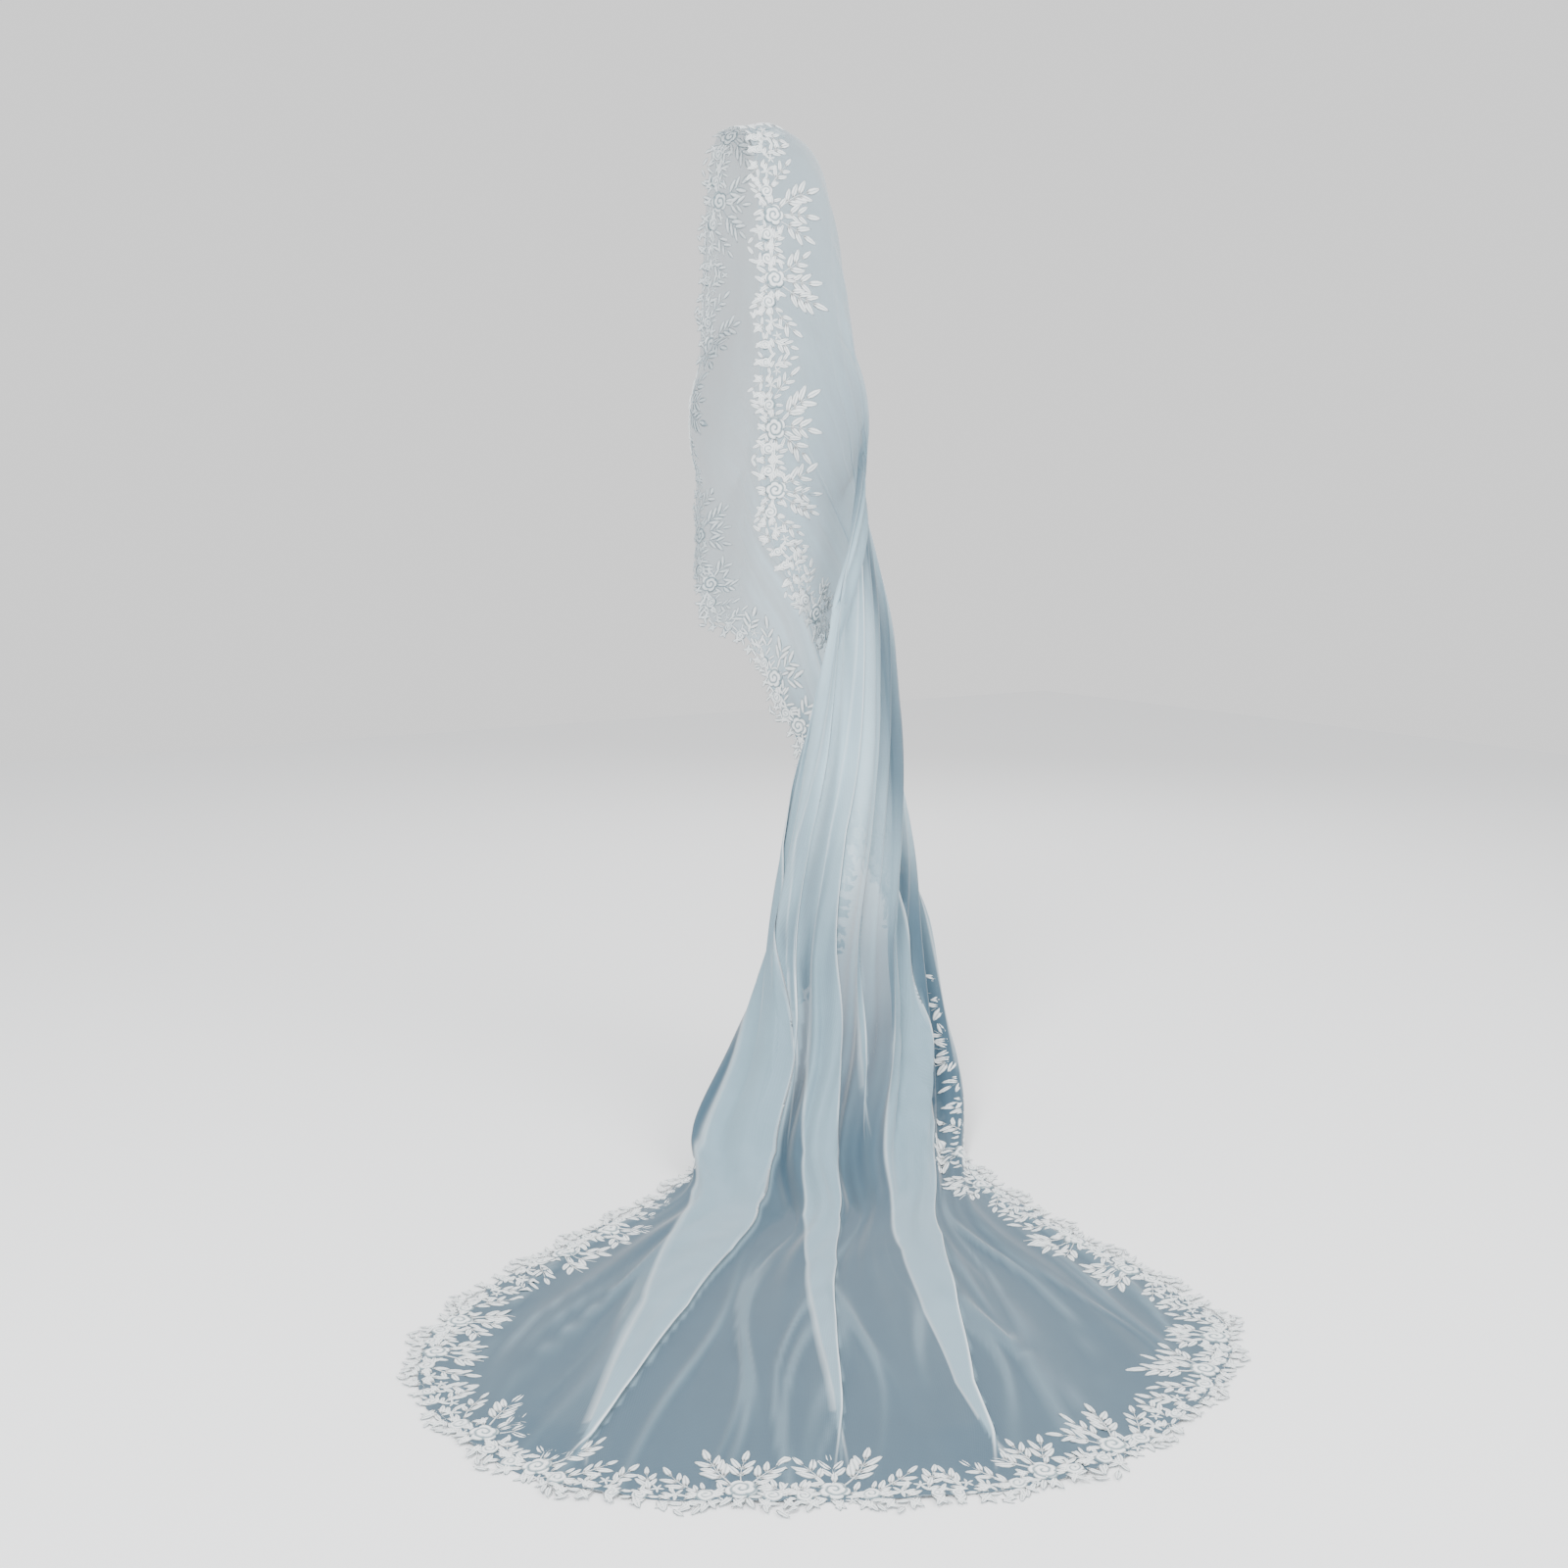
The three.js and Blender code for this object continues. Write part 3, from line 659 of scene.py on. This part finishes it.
# One repeat of the lace. Along is in parts of the repeat, and depth is in mm in from the edge. Angle is in
# degrees from the edge's direction, and positive turns inward.
roseTable = [
    # along  depth  size
    (0.30, 32, 40),
    (0.52, 21, 26),
    (0.11, 19, 24),
    (0.93, 14, 19),
]
flowerTable = [
    # along  depth  size, five petals each
    (0.71, 24, 27),
    (0.84, 34, 19),
    (0.40, 12, 17),
]
sprayTable = [
    # along  depth  angle  length  pairs  leaf
    (0.37, 44, 52, 58, 3, 31),
    (0.24, 45, 118, 44, 2, 30),
    (0.31, 50, 84, 40, 2, 28),
    (0.60, 32, 38, 42, 2, 25),
    (0.88, 26, 62, 32, 2, 23),
    (0.03, 22, 140, 32, 2, 21),
    (0.19, 8, -150, 24, 1, 20),
    (0.46, 10, -32, 26, 2, 20),
    (0.78, 10, -140, 22, 1, 19),
]
edgeLeaves = {"count": 13, "depth": 13, "length": 24}
edgeCord = {"spacing": 9.0, "length": 10, "depth": 9, "sway": 3, "slant": 0.25, "wavesPerRepeat": 4}


# Each motif is a row: its distance along the edge, depth, turn, size and bend

def layOutRoses(along, deeper):
    return [(along(part), depth + deeper, rng.uniform(0, 6.28), size * rng.uniform(0.94, 1.06), 0)
            for part, depth, size in roseTable]


def layOutFlowers(along):
    # Five petals round a small rose each
    petals, hearts = [], []
    for part, depth, size in flowerTable:
        start = rng.uniform(0, 1.2)
        petals += [(along(part), depth, start + k * 2 * math.pi / 5, size / 2, 0) for k in range(5)]
        hearts.append((along(part), depth, 0, size * 0.28, 0))
    return petals, hearts


def layOutSprays(along, turned, flip):
    # Each spray is a curved stem with pairs of leaves along it and one leaf at its tip
    leaves, stems = [], []
    for part, depth, angle, length, pairs, leaf in sprayTable:
        heading = turned(angle + 7 * rng.uniform(-1, 1))
        curl = flip * rng.uniform(0.001, 0.004)
        stems.append((along(part), depth, heading, length, curl))
        for pair in range(pairs + 1):
            reach = length * (0.3 + 0.7 * pair / pairs)
            bow = curl * reach * reach
            x = reach * math.cos(heading) - bow * math.sin(heading)
            y = reach * math.sin(heading) + bow * math.cos(heading)
            for side in (0,) if pair == pairs else (-1, 1):
                size = leaf * rng.uniform(0.85, 1.1)
                lean = heading + side * math.radians(44) + 2 * curl * reach
                leaves.append((along(part) + x, depth + y, lean, size, -side * 0.004))
    return leaves, stems


def layOutRoseLeaves(along):
    # A ring of leaves that show from under each rose
    leaves = []
    for part, depth, size in roseTable:
        count = int(size / 6)
        for leaf in range(count):
            lean = (leaf + 0.5 * rng.uniform(-1, 1)) * 2 * math.pi / count
            x, y = 0.42 * size * math.cos(lean), 0.42 * size * math.sin(lean)
            length = 10 + 0.34 * size * rng.uniform(0.8, 1.1)
            leaves.append((along(part) + x, depth + y, lean, length, 0))
    return leaves


def layOutEdgeLeaves(along, turned):
    # A row of leaves that point out past the edge, and two rows behind it
    leaves = []
    for leaf in range(edgeLeaves["count"]):
        part = (leaf + 0.5) / edgeLeaves["count"]
        depth = edgeLeaves["depth"] + 3 * math.sin(2 * math.pi * part)
        outer = edgeLeaves["length"] * rng.uniform(0.8, 1.1)
        inner = edgeLeaves["length"] * rng.uniform(0.75, 1.0)
        leaves.append((along(part), depth, turned(-50 if leaf % 2 else -118), outer, 0))
        leaves.append((along(part), depth + 3, turned(25 if leaf % 2 else 150), inner, 0))
        leaves.append((along(part), depth + 16, turned(70 if leaf % 2 else 200), inner, 0))
    return leaves


def layOutCord(length, step):
    # Short lengths of cord end to end, which go in and out in waves along the edge
    perMm = 2 * math.pi * edgeCord["wavesPerRepeat"] / step
    return [(at, edgeCord["depth"] + edgeCord["sway"] * math.sin(perMm * at),
             edgeCord["slant"] * math.cos(perMm * at), edgeCord["length"], 0)
            for at in np.arange(0, length, edgeCord["spacing"])]


def layOutLace(strip):
    # Works out every motif of every repeat. Every second repeat is a mirror image.
    repeats = round(strip["length"] / lace["repeat"])
    step = strip["length"] / repeats
    leaves, roses, stems = [], [], []
    for k in range(repeats):
        flip = -1 if k % 2 else 1
        loose = rng.uniform(-1, 1, 4)

        def along(part):
            return (k + 0.5 + flip * (part - 0.5)) * step + 5 * loose[0]

        def turned(angle):
            return math.radians(angle if flip > 0 else 180 - angle)

        roses += layOutRoses(along, 2 * loose[1])
        petals, hearts = layOutFlowers(along)
        sprayLeaves, sprayStems = layOutSprays(along, turned, flip)
        leaves += petals + sprayLeaves + layOutRoseLeaves(along) + layOutEdgeLeaves(along, turned)
        roses += hearts
        stems += sprayStems
    stems += layOutCord(strip["length"], step)
    return np.array(leaves), np.array(roses), np.array(stems)


def makeLace():
    # Bends every motif on to the strip, and joins those of each run of the edge in one mesh
    strip = edgeStrip()
    leaves, roses, stems = layOutLace(strip)
    big = roses[:, 3] > lace["bigRose"]
    motifs = [(leafMotif(), leaves), (roseMotif(5, 9, 30), roses[big]), (roseMotif(5, 5, 15), roses[~big]),
              (stemMotif(), stems)]
    corners = strip["corners"]
    # Where each piece starts and ends along the edge, and how deep in its motifs may start
    spans = {
        "laceFace": (corners[0], corners[1], lace["depth"]),
        "laceLeftSide": (corners[1], corners[2], lace["sideDepth"]),
        "laceTrain": (corners[2], corners[3], lace["depth"]),
        "laceRightSide": (corners[3], corners[4], lace["sideDepth"]),
    }
    material = laceMaterial()
    pieces = {}
    for name, (start, end, deepest) in spans.items():
        points, faces, uvs, padAndShadeValues, count = [], [], [], [], 0
        for (shape, triangles), rows in motifs:
            at = (rows[:, 0] - start) % strip["length"] + start
            mine = rows[(at < end) & (rows[:, 1] < deepest)]
            if not len(mine):
                continue
            placed = stitchOn(strip, shape, mine[:, 0], mine[:, 1], mine[:, 2], mine[:, 3], mine[:, 4])
            steps = np.arange(len(mine))[:, None, None] * len(shape) + count
            faces.append((triangles[None] + steps).reshape(-1, 3))
            points.append(placed.reshape(-1, 3))
            uvs.append((shape[None, :, :2] * mine[:, 3, None, None]).reshape(-1, 2))
            padAndShadeValues.append(np.tile(shape[:, 3], len(mine)))
            count += placed.shape[0] * placed.shape[1]
        piece = meshFrom(name, np.concatenate(points), np.concatenate(faces), np.concatenate(uvs),
                         {"padAndShade": np.concatenate(padAndShadeValues)})
        piece.data.materials.append(material)
        print(name, "faces:", len(piece.data.polygons))
        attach(piece, "root")
        pieces[name] = piece
    return pieces


lacePieces = makeLace()
laceNodes = {
    "laceFace": ([f"lace_face_{k:02}" for k in range(1, 9)]
                 + ["lace_corner_left_lobe", "lace_corner_right_lobe"]),
    "laceLeftSide": [f"lace_left_side_{k:02}" for k in range(1, 13)],
    "laceRightSide": [f"lace_right_side_{k:02}" for k in range(1, 13)],
    "laceTrain": ([f"lace_train_{k:02}" for k in range(1, 8)]
                  + ["lace_corner_left_train", "lace_corner_right_train"]),
}
for name, nodes in laceNodes.items():
    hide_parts(*nodes)


# Tulle: the sheet inside a scalloped line that the lace covers

cloth = {"edgeIn": 12, "scallopDepth": 8, "scallops": 15, "marginColumns": 14}

# How the net looks down the sheet: section numbers, and a value at each
netLook = {
    "cover": ([0, 3, 5, 7, 8, 10, 12, 15], [0.34, 0.42, 0.64, 0.7, 0.84, 0.88, 0.87, 0.88]),
    # Painted light: how far the net is whitened where the fall hangs in the light
    "litHaze": ([0, 3, 5, 6.5, 7.2, 8, 8.8, 11, 12], [0.5, 0.65, 1, 1, 0.75, 0.25, 0, 0, 0]),
    "rightSide": ([1.5, 2.5, 3.5, 4.5, 5.5, 6.5, 7.5, 8.5, 10],
                  [0.82, 0.79, 0.73, 0.61, 0.47, 0.43, 0.33, 0.24, 0.15]),
    # Painted shade on the sides of the fall that turn away from the light
    "turned": ([1, 2.5, 5, 9, 11], [0, 0.6, 1, 1, 0]),
    "gathered": ([2, 4.5, 8, 11], [0.2, 1, 0.8, 0]),
    "shaded": ([4.5, 6, 11, 12.5], [0, 1, 1, 0]),
}


def makeTulle():
    # Each row runs from edge to edge, less a margin that goes in and out in scallops. At a cut corner the
    # square roots of a point's distances from the two edges add up to that of the cut.
    rows, columns = drape["rows"], drape["columns"]
    line = np.linspace(1, rows - 1, rows + 1)
    margin = cloth["edgeIn"] + cloth["scallopDepth"] * np.sin(math.pi * cloth["scallops"] * line / rows) ** 2
    walked = np.cumsum(np.linalg.norm(np.diff(bare["points"], axis=0), axis=2), axis=0)
    walked = np.concatenate([np.zeros((1, columns + 1)), walked])
    cell = np.linalg.norm(np.gradient(sheet["points"], axis=1), axis=2)
    sides = []
    for edge in (0, -1):
        front = np.interp(line, np.arange(rows + 1), walked[:, edge])
        cut = 0
        for reach, corner in ((front, lace["frontCorner"]), (walked[-1, edge] - front, lace["trainCorner"])):
            cut = cut + np.maximum(math.sqrt(corner) - np.sqrt(reach), 0) ** 2
        sides.append((margin + cut) / np.interp(line, np.arange(rows + 1), cell[:, edge]))
    # Only the columns outside the pleats close up to make room for the margin
    even = np.arange(columns + 1.0)[None, :]
    spare = cloth["marginColumns"]
    low, high = sides[0][:, None] * (1 - even / spare), sides[1][:, None] * (1 - (columns - even) / spare)
    column = even + np.maximum(low, 0) - np.maximum(high, 0)
    row = line[:, None] + 0 * even
    section = np.broadcast_to(sheet["section"], sheet["share"].shape)
    layers = np.stack([sheet["banded"], sheet["foldHighlight"], section, sheet["share"]], axis=-1)
    points = sample(sheet["points"], row, column)
    banded, foldHighlight, section, share = np.moveaxis(sample(layers, row, column), -1, 0)
    down = line[:, None] / rows + 0 * even
    uv = np.stack([share * drape["flatWidth"], down * drape["flatLength"]], axis=-1) / mm
    cover, litHaze = sheetLook(section, share)
    attributes = {"banded": banded * (1 - 0.9 * np.maximum(litHaze, 0)), "foldHighlight": foldHighlight, "litHaze": litHaze,
                  "cover": np.clip(cover + 0.05 * banded + 0.3 * foldHighlight, 0, 0.96)}
    return meshFrom("tulle", points.reshape(-1, 3), gridFaces(rows, columns), uv.reshape(-1, 2), attributes)


def sheetLook(section, share):
    # How much the net covers, and how white it looks. It is thin and pale where it hangs in one layer, and
    # whitest, as painted light, where the fall is gathered in the light. The two sides of the fall turn away
    # from the light and are painted bluer as painted shade, and its edges get painted shade where they hang
    # behind it.
    down = {name: np.interp(section, *columns) for name, columns in netLook.items()}
    # Painted shade on the sides turned from the light: more cover and less whitening
    turned = np.exp(-((share - down["rightSide"]) / 0.08) ** 2)
    turned = down["turned"] * (turned + 0.5 * np.exp(-((share - 0.87) / 0.05) ** 2))
    # Streaks along the gathers: denser and sparser net, and painted light and shade in its whiteness
    gatherAndLight = np.sin(2 * math.pi * (17 * share + 0.3 * np.sin(1.1 * section)))
    gatherAndLight = gatherAndLight + 0.7 * np.sin(2 * math.pi * (41 * share + 0.4 * np.sin(0.8 * section + 3)))
    gatherAndLight = gatherAndLight * down["gathered"]
    lengths = np.interp(section, bare["section"][:, 0], bare["lengths"][:, 0])
    shade = np.exp(-(np.minimum(share, 1 - share) * lengths / 110) ** 2) * down["shaded"]
    cover = down["cover"] + 0.12 * turned + 0.18 * shade + 0.04 * gatherAndLight
    # Painted light, less on the sides turned from the light and none in the shade behind the fall
    litHaze = (down["litHaze"] + 0.1 * gatherAndLight) * (1 - 0.9 * turned) * (1 - shade)
    # The crests of the train's ridges, which stand off the floor, are painted paler as a painted highlight
    crestHighlight = np.minimum(trainWrinkles(share, section, lengths), 2.8)
    return np.minimum(cover, 0.97), litHaze + 0.02 * crestHighlight**2


tulle = makeTulle()
tulle.data.materials.append(tulleMaterial())
print("tulle made")

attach(tulle, "root")
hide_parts("tulle_veil")


# Comb: the plain moulded one from the CAD part, with a better surface

comb = bpy.data.objects["crown_comb"]
comb.data.materials.clear()
comb.data.materials.append(combMaterial())


# Floor, light and camera

def makeFloor():
    low, high = -5.5, 5.5
    points = np.array([[low, low, 0], [high, low, 0], [high, high, 0], [low, high, 0]]) / mm
    points[:, 2] = -drape["fallHeight"] - 0.3
    floor = meshFrom("floor", points, np.array([[0, 1, 2, 3]]))
    floor.data.materials.append(floorMaterial())


def addLight(name, place, aim, size, power):
    # A round soft light that faces the point it is aimed at
    lamp = bpy.data.lights.new(name, "AREA")
    lamp.shape = "DISK"
    lamp.size = size
    lamp.energy = power
    light = bpy.data.objects.new(name, lamp)
    light.location = place
    way = np.array(aim) - np.array(place)
    tilt = math.acos(-way[2] / np.linalg.norm(way))
    light.rotation_euler = (tilt, 0, math.atan2(way[1], way[0]) - math.pi / 2)
    bpy.context.collection.objects.link(light)


def fromSide(across, out, z):
    # A place given across, out and up as seen from the side the train is laid to
    turn = math.radians(drape["trainTurn"])
    return (across * math.cos(turn) + out * math.sin(turn), across * math.sin(turn) - out * math.cos(turn), z)


def makeLight():
    centre = fromSide(0, 0.4, -1.0)
    addLight("keyLight", fromSide(-1.0, 3.1, 1.5), centre, 1.6, 190)
    addLight("fillLight", fromSide(2.8, 2.4, 0.8), centre, 2.6, 110)
    addLight("backLight", fromSide(0.6, -2.8, 1.2), centre, 2.4, 70)
    world = bpy.data.worlds.new("studio")
    world.use_nodes = True
    world.node_tree.nodes["Background"].inputs["Color"].default_value = (1, 1, 1, 1)
    world.node_tree.nodes["Background"].inputs["Strength"].default_value = 1.2
    bpy.context.scene.world = world


view = {
    "lens": 42.03,            # mm, on a sensor 36 mm wide
    "sensor": 36,
    "across": 0.0445,         # metres, as seen from the side the train is laid to
    "out": 3.4007,
    "z": -0.6763,             # from the crown
    "down": 8.5,              # degrees
}


def makeCamera():
    # A little over half way up, looking slightly down, square on to the side the train is laid to
    lens = bpy.data.cameras.new("camera")
    lens.sensor_width = view["sensor"]
    lens.sensor_fit = "HORIZONTAL"
    lens.lens = view["lens"]
    camera = bpy.data.objects.new("camera", lens)
    camera.location = fromSide(view["across"], view["out"], view["z"])
    camera.rotation_euler = (math.radians(90 - view["down"]), 0, math.radians(drape["trainTurn"]))
    bpy.context.collection.objects.link(camera)
    bpy.context.scene.camera = camera


makeFloor()
makeLight()
makeCamera()
